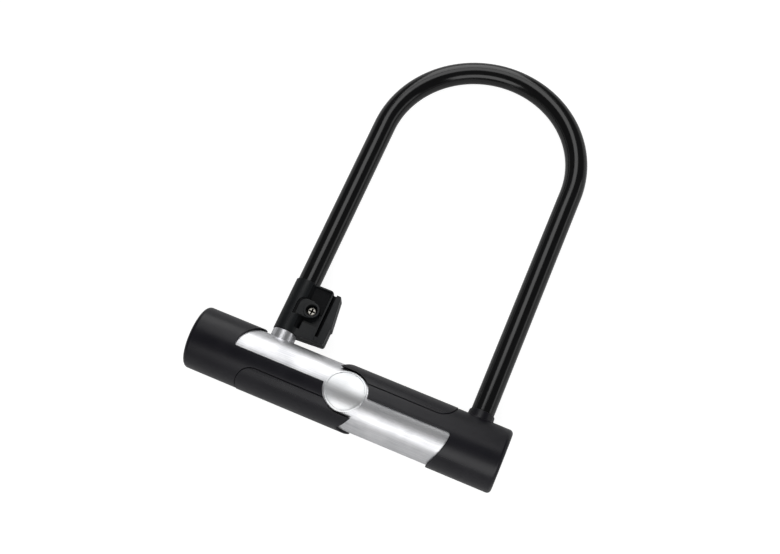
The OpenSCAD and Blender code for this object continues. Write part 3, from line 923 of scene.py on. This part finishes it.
@dataclass
class Shackle:
    """The bent shackle's vinyl sleeve."""

    wall: float = 0.55
    end_round: float = 0.2
    end_angle: float = 60.0
    sides: int = 72
    bow_steps: int = 96

    def build(self) -> None:
        """Extrude a ring up one leg, spin it round the bow and run it down the other leg."""
        Bench.clear()
        bpy.ops.mesh.primitive_circle_add(
            vertices=self.sides,
            radius=LOCK.coat_r * MM,
            location=(LOCK.right_leg_x * MM, LOCK.coat_y * MM, 0),
            rotation=(math.pi / 2, 0, 0),
        )
        sleeve = Bench.named("sleeve")
        rise = (LOCK.bow_y - LOCK.coat_y) * MM
        Bench.edit(sleeve)
        bpy.ops.mesh.extrude_region_move(TRANSFORM_OT_translate={"value": (0, rise, 0)})
        centre = (LOCK.bow_x * MM, LOCK.bow_y * MM, 0)
        bpy.ops.mesh.spin(steps=self.bow_steps, angle=-math.pi, center=centre, axis=(0, 0, 1))
        bpy.ops.mesh.extrude_region_move(TRANSFORM_OT_translate={"value": (0, -rise, 0)})
        bpy.ops.mesh.select_all(action="SELECT")
        bpy.ops.mesh.remove_doubles(threshold=SLIVER * MM)
        bpy.ops.mesh.normals_make_consistent(inside=False)
        Bench.thicken(sleeve, self.wall)
        Bench.soften(sleeve, self.end_round, angle=self.end_angle)
        mount(Bench.lay(sleeve, "vinyl_sleeve"), "shackle", "vinyl", DIPPED_VINYL, "shackle_sleeve")


@dataclass
class Bracket:
    """The carrying bracket on the left leg, measured from the leg's axis and the bracket's foot."""

    # Where its foot stands up the leg, and its height
    foot: float = 23.5
    height: float = 34.0
    # The ring round the leg, the lip below it and the room for the polished collar
    in_r: float = 7.15
    out_r: float = 7.95
    lip: float = 0.5
    collar_room_r: float = 7.9
    # The block beside the ring, and the web from it to the flange
    block_w: float = 18.4
    block_half: float = 5.4
    block_round: float = 2.5
    web_half: float = 1.6
    # The flange: its widths at foot and top, the step at its foot and how far it stays below the top
    flange_x: float = 20.3
    flange_half: float = 5.1
    flange_w: float = 25.9
    flange_top: float = 23.3
    flange_foot: float = 11.3
    flange_drop: float = 1.4
    flange_lean: float = 8.0
    foot_round: float = 1.6
    top_round: float = 0.8
    step: float = 0.7
    # The slope of the sole, the height at which the slide groove stops and half the gap between the halves
    sole: float = 1.2
    stop: float = 3.2
    split: float = 0.2
    # The screw in its boss: its place, its head, its shank and the cross in its head
    screw: Point = (10.4, 16.8)
    screw_seat: float = 3.2
    boss_r: float = 5.0
    boss_z: float = 8.2
    head_r: float = 2.9
    head_h: float = 2.2
    head_round: float = 0.9
    head_edge: float = 0.08
    head_room: float = 0.7
    shank_r: float = 2.0
    shank_end: float = 0.3
    cross_l: float = 2.0
    cross_half: float = 0.5
    cross_d: float = 1.3
    hole_r: float = 2.15
    # The nut's pocket in the rear half
    nut_r: float = 4.19
    nut_d: float = 3.2
    nut_sides: int = 6
    # The recess in the front half, inside a rim, and the deeper pocket in its lower part
    recess_left: float = 4.3
    recess_d: float = 1.2
    pocket_d: float = 2.4
    rim: float = 1.2
    # How far above the screw's middle the pocket ends, so that no two roundings meet in a point there
    step_up: float = 0.245
    # The land below the pocket, and the narrow leg that runs down beside it
    land: float = 8.5
    leg_w: float = 3.4
    # The wall that always stays round the leg's bore
    skin: float = 0.4
    # The thumb tab and the groove round it
    tab_left: float = 1.2
    tab_low: float = 11.55
    tab_top: float = 22.85
    tab_round: float = 4.5
    tab_drop: float = 0.7
    tab_edge: float = 0.5
    tab_groove: float = 1.1
    # The share of the groove's width that it has below the tab
    groove_foot: float = 0.45
    edge_round: float = 0.22
    block_steps: int = 10
    flange_steps: int = 6
    tab_steps: int = 14
    edge_steps: int = 3
    dome_steps: int = 5
    # What cutting shapes clear: both ends of the leg's bore, the far side, the flange and the screw's boss
    bore: Point = (-5.0, 50.0)
    clear_back: float = -12.0
    clear_right: float = 30.0
    clear_top: float = 20.0
    # How far the faces with painted shade reach: past an edge, in from the ring's outside and above the tab
    margin: float = 0.1
    ring_margin: float = 0.15
    tab_margin: float = 2.0

    def place(self) -> Matrix:
        """Give the matrix that lays the bracket on the left leg."""
        return LAID @ Matrix.Translation((LOCK.left_leg_x * MM, self.foot * MM, 0))

    def at(self) -> Place:
        """Give a point on the screw's axis."""
        return (self.screw[0], self.screw[1], 0)

    @property
    def foot_x(self) -> float:
        """Where the rounding of the flange's foot starts."""
        return self.flange_w - self.step - self.foot_round

    def under(self, x: float) -> float:
        """Give the sloping sole's height above the bracket's foot, at a distance from the leg's axis."""
        return self.sole * (x / self.foot_x - 1)

    def half(self) -> Piece:
        """Build one half: ring, block, web, stop and sloping flange, on the +Z side.

        Returns:
            The half with its bore still filled.
        """
        top = self.height - self.flange_drop
        inner, outer = self.block_w - PAST, self.flange_x + PAST
        ring = Bench.bar(Axis.Y, (-self.lip, self.height), self.out_r)
        corner = (self.block_w - self.block_round, self.height - self.block_round)
        block = [
            (0, self.under(0)),
            (self.block_w, self.under(self.block_w)),
            *arc(corner, self.block_round, 0, 90, self.block_steps),
            (0, self.height),
        ]
        tip = (self.flange_top - self.top_round, top - self.top_round)
        flange = [
            (self.flange_x, self.under(self.flange_x)),
            *arc((self.foot_x, self.foot_round), self.foot_round, -90, 0, self.flange_steps),
            (self.flange_w - self.step, self.flange_foot - self.step),
            (self.flange_w, self.flange_foot),
            *arc(tip, self.top_round, self.flange_lean, 90, self.flange_steps),
            (self.flange_x, top),
        ]
        stop = [
            (inner, self.under(inner)),
            (outer, self.under(outer)),
            (outer, self.stop),
            (inner, self.stop),
        ]
        Bench.combine(
            ring,
            Cut.ADD,
            Bench.slab(block, -self.block_half, self.block_half),
            Bench.slab(flange, -self.flange_half, self.flange_half),
            Bench.block((inner, 0, -self.web_half), (outer, top, self.web_half)),
            Bench.slab(stop, -self.flange_half, self.flange_half),
        )
        return Bench.combine(
            ring,
            Cut.TAKE,
            Bench.block(
                (self.clear_back, self.bore[0], self.clear_back), (self.clear_right, self.bore[1], self.split)
            ),
            Bench.bar(Axis.Y, (self.bore[0], -self.lip), self.collar_room_r),
        )

    def tab_outline(self, grow: float = 0.0) -> list[Point]:
        """Give the thumb tab's outline.

        Args:
            grow: How much wider the outline is drawn.

        Returns:
            The corners, counter-clockwise.
        """
        radius = self.tab_round + grow
        corner = (self.tab_left + self.tab_round, self.tab_top - self.tab_round)
        low = self.tab_low - grow * self.groove_foot
        return [
            (self.tab_left - grow, low),
            (self.screw[0], low),
            (self.screw[0], self.tab_top + grow),
            *arc(corner, radius, 90, 180, self.tab_steps),
        ]

    def bores(self) -> tuple[Piece, Piece]:
        """Build the two shapes that bore a half, for the leg and for the screw."""
        leg = Bench.bar(Axis.Y, self.bore, self.in_r)
        return leg, Bench.bar(Axis.Z, (0, self.clear_top), self.hole_r, at=self.at(), sides=HOLE_SIDES)

    def front(self) -> None:
        """Build the front half with its recesses, boss, thumb tab and screw hole."""
        half = self.half()
        left, right = self.recess_left, self.block_w - self.rim
        mid = self.screw[1] + self.step_up
        deep, shallow = self.block_half - self.pocket_d, self.block_half - self.recess_d
        over = self.out_r + PAST
        recess = Bench.block((left, self.land + PAST, shallow), (right, self.height - self.rim, over))
        Bench.combine(
            recess,
            Cut.ADD,
            Bench.block((left, self.stop + self.skin, deep), (left + self.leg_w, mid, over)),
            Bench.block((left, self.land, deep), (right, mid, over)),
        )
        groove = Bench.slab(self.tab_outline(self.tab_groove), shallow, over)
        for hollow in (recess, groove):
            Bench.combine(hollow, Cut.TAKE, Bench.bar(Axis.Y, self.bore, self.in_r + self.skin))
        Bench.combine(half, Cut.TAKE, recess, groove)
        tab_z = self.boss_z - self.tab_drop
        tab = Bench.slab(self.tab_outline(), deep, tab_z)
        Bench.round_off(tab, lambda p: p.z > tab_z - NEAR, self.tab_edge, self.edge_steps)
        boss = (self.screw_seat - self.recess_d, self.boss_z)
        Bench.combine(
            half, Cut.ADD, Bench.bar(Axis.Z, boss, self.boss_r, at=self.at(), sides=HEAD_SIDES), tab
        )
        room = (self.screw_seat, self.clear_top)
        Bench.combine(
            half,
            Cut.TAKE,
            *self.bores(),
            Bench.bar(Axis.Z, room, self.head_r + self.head_room, at=self.at(), sides=HEAD_SIDES),
        )
        # Painted shade: the hollows of the front half take a darker, duller nylon
        self.paint_recess_shade(half)
        Bench.soften(half, self.edge_round)
        piece = Bench.lay(half, "bracket_front_half", self.place())
        mount(piece, "shackle", "bracket_plastic", MOULDED_NYLON, "bracket_front")

    def paint_recess_shade(self, half: Piece) -> None:
        """Paint shade on the floors and walls of recess, pocket, groove and slot, with a duller, darker nylon
        than the outer faces.

        Args:
            half: The front half, still standing on the bracket's own axes.
        """
        MOULDED_NYLON.dress(half)
        # Painted shade: a second, duller and less reflective nylon that stands in for the shade in the
        # hollows
        half.data.materials.append(SHADED_RECESS_NYLON.material())
        right, top = self.block_w - self.rim, self.height - self.rim
        screw, more = Vector(self.screw), self.margin
        for face in half.data.polygons:
            spot = face.center / MM
            boss = (spot.to_2d() - screw).length < self.boss_r + more
            from_leg = math.hypot(spot.x, spot.z)
            outside = from_leg > self.in_r + self.skin / 2
            in_ring = from_leg < self.out_r - self.ring_margin
            sunk = spot.z < self.block_half - NEAR or in_ring
            pocket = self.recess_left - more < spot.x < right + more and self.stop < spot.y < top + more
            slot = self.block_w - more < spot.x < self.flange_x + more and spot.y > self.stop - more
            groove = in_ring and self.tab_low < spot.y < self.tab_top + self.tab_margin
            inside = self.split + more < spot.z < self.out_r - more
            if outside and inside and sunk and not boss and (pocket or slot or groove):
                # This face gets the painted shade of the hollows
                face.material_index = SHADE_SLOT

    def rear(self) -> None:
        """Build the plain rear half with its nut pocket."""
        half = self.half()
        pocket = (self.block_half - self.nut_d, self.clear_top)
        nut = Bench.bar(Axis.Z, pocket, self.nut_r, at=self.at(), sides=self.nut_sides)
        Bench.combine(half, Cut.TAKE, *self.bores(), nut)
        Bench.soften(half, self.edge_round)
        half.scale = (1, 1, -1)
        Bench.take(half)
        Bench.named("rear")
        Bench.edit(half)
        bpy.ops.mesh.normals_make_consistent(inside=False)
        piece = Bench.lay(half, "bracket_rear_half", self.place())
        mount(piece, "shackle", "bracket_plastic", MOULDED_NYLON, "bracket_rear")

    def fastener(self) -> None:
        """Build the cross-head screw."""
        top = self.screw_seat + self.head_h
        head = Bench.bar(Axis.Z, (self.screw_seat, top), self.head_r, at=self.at(), sides=HEAD_SIDES)
        Bench.round_off(head, lambda p: p.z > top - NEAR, self.head_round, self.dome_steps)
        shank = (self.shank_end - self.block_half, self.screw_seat + self.margin)
        Bench.combine(head, Cut.ADD, Bench.bar(Axis.Z, shank, self.shank_r, at=self.at(), sides=HOLE_SIDES))
        x, y = self.screw
        floor = top - self.cross_d
        for w, h in ((self.cross_l, self.cross_half), (self.cross_half, self.cross_l)):
            Bench.combine(head, Cut.TAKE, Bench.block((x - w, y - h, floor), (x + w, y + h, top + PAST)))
        Bench.soften(head, self.head_edge)
        PLATED_STEEL.dress(head)
        # Painted shade: the faces deep in the cross take a near-black finish for the shade that falls there
        head.data.materials.append(SHADED_CROSS_ZINC.material())
        for face in head.data.polygons:
            spot = face.center / MM - Vector((x, y, 0))
            crossed = min(abs(spot.x), abs(spot.y)) < self.cross_half + NEAR
            near = spot.to_2d().length < self.cross_l + NEAR
            if crossed and near and floor - self.margin < spot.z < top - self.margin:
                # This face gets the painted shade of the cross
                face.material_index = SHADE_SLOT
        piece = Bench.lay(head, "cross_head_screw", self.place())
        mount(piece, "shackle", "hardware_steel", PLATED_STEEL, "bracket_screw")

    def build(self) -> None:
        """Build and dress the bracket."""
        self.front()
        self.rear()
        self.fastener()


@dataclass
class KeyEnd:
    """What shows at the keyed end: the plate, the dust cover and its rivet."""

    # The plate, with two turned grooves and the hole for the key plug's nose
    face: float = -98.15
    back: float = -97.05
    plate_edge: float = 0.12
    grooves: Point = (11.4, 9.9)
    groove_half: float = 0.3
    groove_d: float = 0.25
    nose_r: float = 4.66
    # The dust cover: its round lid, its arm and its thumb nub
    lid_face: float = -98.95
    lid_back: float = -98.25
    lid_edge: float = 0.15
    lid_r: float = 4.9
    arm_r: float = 2.3
    arm_steps: int = 32
    nub: Place = (0, -3.1, 0)
    nub_r: float = 0.9
    nub_h: float = 0.5
    nub_sink: float = 0.1
    nub_sides: int = 32
    # The rivet, and the room round it in the plate and in the lid
    pivot: Place = (0, 6.5, 0)
    rivet_r: float = 1.2
    rivet_room: float = 0.05
    lid_room: float = 0.06
    # How far above the lid the top and the underside of its head are
    rivet_head: Point = (0.5, 0.1)
    rivet_head_r: float = 2.0
    rivet_round: float = 0.35
    rivet_steps: int = 4

    def plate(self) -> None:
        """Build the plate with two turned grooves in its face."""
        plate = Bench.bar(Axis.X, (self.face, self.back), LOCK.key_plate_r, sides=DISC_SIDES)
        cut = (self.face - PAST, self.face + self.groove_d)
        core = (self.face - 2 * PAST, self.face + PAST)
        for radius in self.grooves:
            ring = Bench.bar(Axis.X, cut, radius + self.groove_half, sides=DISC_SIDES)
            inside = Bench.bar(Axis.X, core, radius - self.groove_half, sides=DISC_SIDES)
            Bench.combine(plate, Cut.TAKE, Bench.combine(ring, Cut.TAKE, inside))
        through = (self.face - PAST, self.back + PAST)
        Bench.combine(
            plate,
            Cut.TAKE,
            Bench.bar(Axis.X, through, self.nose_r),
            Bench.bar(Axis.X, through, self.rivet_r + self.rivet_room, at=self.pivot, sides=HOLE_SIDES),
        )
        Bench.soften(plate, self.plate_edge)
        mount(Bench.lay(plate, "key_end_plate"), "crossbar", "polished_chrome", CHROME, "key_plate")

    def lid(self) -> None:
        """Build the dust cover with its arm and thumb nub."""
        ends = (self.lid_face, self.lid_back)
        lid = Bench.bar(Axis.X, ends, self.lid_r)
        tip = arc(self.pivot[:2], self.arm_r, 0, 180, self.arm_steps)
        arm = Bench.slab([(-self.arm_r, 0), (self.arm_r, 0), *tip], *ends)
        nub = (ends[0] - self.nub_h, ends[0] + self.nub_sink)
        Bench.combine(
            lid,
            Cut.ADD,
            Bench.turn(arm, Axis.X.value),
            Bench.bar(Axis.X, nub, self.nub_r, at=self.nub, sides=self.nub_sides),
        )
        through = (ends[0] - PAST, ends[1] + PAST)
        hole = Bench.bar(Axis.X, through, self.rivet_r + self.lid_room, at=self.pivot, sides=HOLE_SIDES)
        Bench.combine(lid, Cut.TAKE, hole)
        Bench.soften(lid, self.lid_edge)
        mount(Bench.lay(lid, "swing_lid"), "dust_cover", "lid_plastic", MOULDED_LID, "dust_cover")

    def rivet(self) -> None:
        """Build the rivet with its domed head."""
        top, under = (self.lid_face - above for above in self.rivet_head)
        rivet = Bench.bar(Axis.X, (top, under), self.rivet_head_r, at=self.pivot, sides=HEAD_SIDES)
        Bench.round_off(rivet, lambda p: p.x < top + NEAR, self.rivet_round, self.rivet_steps)
        shank = Bench.bar(Axis.X, (under - NEAR, self.back), self.rivet_r, at=self.pivot, sides=HOLE_SIDES)
        Bench.combine(rivet, Cut.ADD, shank)
        mount(Bench.lay(rivet, "lid_pivot_rivet"), "crossbar", "hardware_steel", PLATED_STEEL, "lid_rivet")

    def build(self) -> None:
        """Build and dress the keyed end."""
        self.plate()
        self.lid()
        self.rivet()


@dataclass
class InnerWorks:
    """The solids inside the crossbar and the legs, which keep their own shapes."""

    finishes: dict[str, Finish] = field(
        default_factory=lambda: {
            "tube_steel": SATIN_STEEL,
            "cover_rubber": MOULDED_RUBBER,
            "badge_metal": BRUSHED_BADGE,
            "polished_chrome": CHROME,
            "zinc_block": CAST_ZINC,
            "hardware_steel": PLATED_STEEL,
            "brass": TURNED_BRASS,
            "cam_steel": HARDENED_STEEL,
            "lid_plastic": MOULDED_LID,
            "rod_steel": DRAWN_ROD,
            "vinyl": DIPPED_VINYL,
            "bracket_plastic": MOULDED_NYLON,
        }
    )

    def build(self) -> None:
        """Dress every solid by its material slot."""
        for part in frame["record"]["subparts"]:
            node = frame["nodes"][part["node"]]
            self.finishes[part["material_slot"]].dress(node)
            LOG.info("%s dressed as %s", node.name, part["material_slot"])


@dataclass
class Lamp:
    """A soft box: the side where it hangs, its size in metres and how bright its face is."""

    name: str
    towards: Place
    size: Point
    radiance: float
    mirrored: bool = True
    distance: float = 1.0

    def hang(self, middle: Vector) -> None:
        """Hang the soft box.

        Args:
            middle: The point that it faces, in metres.
        """
        data = bpy.data.lights.new(self.name, "AREA")
        data.shape = "RECTANGLE"
        data.size, data.size_y = self.size
        data.energy = self.radiance * math.pi * self.size[0] * self.size[1]
        lamp = bpy.data.objects.new(self.name, data)
        bpy.context.scene.collection.objects.link(lamp)
        way = Vector(self.towards).normalized()
        lamp.location = middle + way * self.distance
        lamp.rotation_euler = (-way).to_track_quat("-Z", "Y").to_euler()
        lamp.visible_glossy = self.mirrored


@dataclass
class Studio:
    """Floor, soft light and the camera."""

    # The photograph's camera, on the lock's own axes
    eye: Place = (92.61, -148.60, 654.35)
    forward: Place = (-0.14109369, 0.32855245, -0.9338875)
    up: Place = (-0.36426897, 0.85991667, 0.35756318)
    lens: float = 51.93
    sensor: float = 36.0
    clip_start: float = 0.01
    # The point up the legs that the lamps face
    aim_y: float = 90.0
    # The surrounding: where its pale foot gives way to its dim top, and how bright they are
    wall: Point = (0.08, 0.2)
    pale: float = 0.6
    dim: float = 0.07
    # The share of the white background that reflections show
    mirrored: float = 0.12
    # The floor: its width in metres, its colour to the lock and to the camera, and its own white
    floor_w: float = 60.0
    floor_tones: tuple[str, str] = ("#cfcfcf", "#8a8a8a")
    glow: float = 0.92
    white: str = "#ffffff"
    lamps: tuple[Lamp, ...] = (
        Lamp("top_box", (-0.17, 0.45, 0.88), (0.5, 0.5), 1.9),
        Lamp("front_box", (0.25, -0.74, 0.6), (1.2, 0.6), 2.0),
        Lamp("back_box", (-0.27, 0.86, 0.44), (0.5, 0.65), 2.3),
        Lamp("side_strip", (0.92, 0.32, 0.28), (0.7, 0.22), 1.0),
        Lamp("fill_box", (0.1, -0.2, 1.0), (1.2, 1.2), 0.6, mirrored=False),
    )

    def seen(self, tree: bpy.types.NodeTree) -> bpy.types.NodeSocket:
        """Give how much of the white background a ray sees.

        Args:
            tree: The node tree of the floor or the world.

        Returns:
            The socket: all of it for the camera and through glass, a faint share in reflections.
        """
        ray = add(tree, "ShaderNodeLightPath").outputs
        faint = {0: ray["Is Glossy Ray"], 1: self.mirrored}
        share = add(tree, "ShaderNodeMath", faint, operation="MULTIPLY").outputs[0]
        for kind in ("Is Camera Ray", "Is Transmission Ray"):
            share = add(tree, "ShaderNodeMath", {0: share, 1: ray[kind]}, operation="MAXIMUM").outputs[0]
        return share

    def floor(self) -> None:
        """Lay a pale floor that looks white and keeps a soft shadow."""
        Bench.clear()
        bpy.ops.mesh.primitive_plane_add(size=self.floor_w)
        floor = Bench.named("floor")
        material = bpy.data.materials.new("pale_floor")
        material.use_nodes = True
        tree = material.node_tree
        tree.nodes.clear()
        seen = self.seen(tree)
        tones = [{"Color": linear(tone)} for tone in self.floor_tones]
        matte, shadow = (add(tree, "ShaderNodeBsdfDiffuse", tone).outputs[0] for tone in tones)
        lit = {"Color": linear(self.white), "Strength": self.glow}
        glow = add(tree, "ShaderNodeEmission", lit).outputs[0]
        white = add(tree, "ShaderNodeAddShader", {0: shadow, 1: glow}).outputs[0]
        mixed = add(tree, "ShaderNodeMixShader", {0: seen, 1: matte, 2: white}).outputs[0]
        add(tree, "ShaderNodeOutputMaterial", {"Surface": mixed})
        floor.data.materials.append(material)

    def world(self) -> None:
        """Set a surrounding that is white to the camera, and pale below and dim overhead to the lock."""
        world = bpy.data.worlds.new("studio")
        bpy.context.scene.world = world
        world.use_nodes = True
        tree = world.node_tree
        tree.nodes.clear()
        way = add(tree, "ShaderNodeTexCoord").outputs["Generated"]
        rise = add(tree, "ShaderNodeSeparateXYZ", {"Vector": way}).outputs["Z"]
        wall = {
            "Value": rise,
            "From Min": self.wall[0],
            "From Max": self.wall[1],
            "To Min": self.pale,
            "To Max": self.dim,
        }
        level = add(tree, "ShaderNodeMapRange", wall).outputs["Result"]
        level = add(tree, "ShaderNodeMath", {0: level, 1: self.seen(tree)}, operation="MAXIMUM").outputs[0]
        lit = {"Color": linear(self.white), "Strength": level}
        light = add(tree, "ShaderNodeBackground", lit).outputs[0]
        add(tree, "ShaderNodeOutputWorld", {"Surface": light})

    def camera(self) -> None:
        """Set the camera at the photograph's place."""
        data = bpy.data.cameras.new("camera")
        data.sensor_width = self.sensor
        data.lens = self.lens
        data.clip_start = self.clip_start
        camera = bpy.data.objects.new("camera", data)
        bpy.context.scene.collection.objects.link(camera)
        back = -Vector(self.forward).normalized()
        right = Vector(self.up).cross(back).normalized()
        turned = Matrix((right, back.cross(right), back)).transposed().to_4x4()
        camera.matrix_world = LAID @ Matrix.Translation(Vector(self.eye) * MM) @ turned
        bpy.context.scene.camera = camera

    def build(self) -> None:
        """Set up floor, light and camera."""
        self.camera()
        self.floor()
        self.world()
        for lamp in self.lamps:
            lamp.hang(LAID @ (Vector((LOCK.bow_x, self.aim_y, 0)) * MM))
        bpy.context.scene.view_settings.view_transform = "Standard"


def main() -> None:
    """Build the lock's looks and write how large it came out."""
    logging.basicConfig(level=logging.INFO, format="%(name)s: %(message)s")
    for assembly in (Studio(), InnerWorks(), Crossbar(), Shackle(), Bracket(), KeyEnd()):
        assembly.build()
        LOG.info("%s done", type(assembly).__name__)
    Bench.clear()


if __name__ == "__main__":
    main()
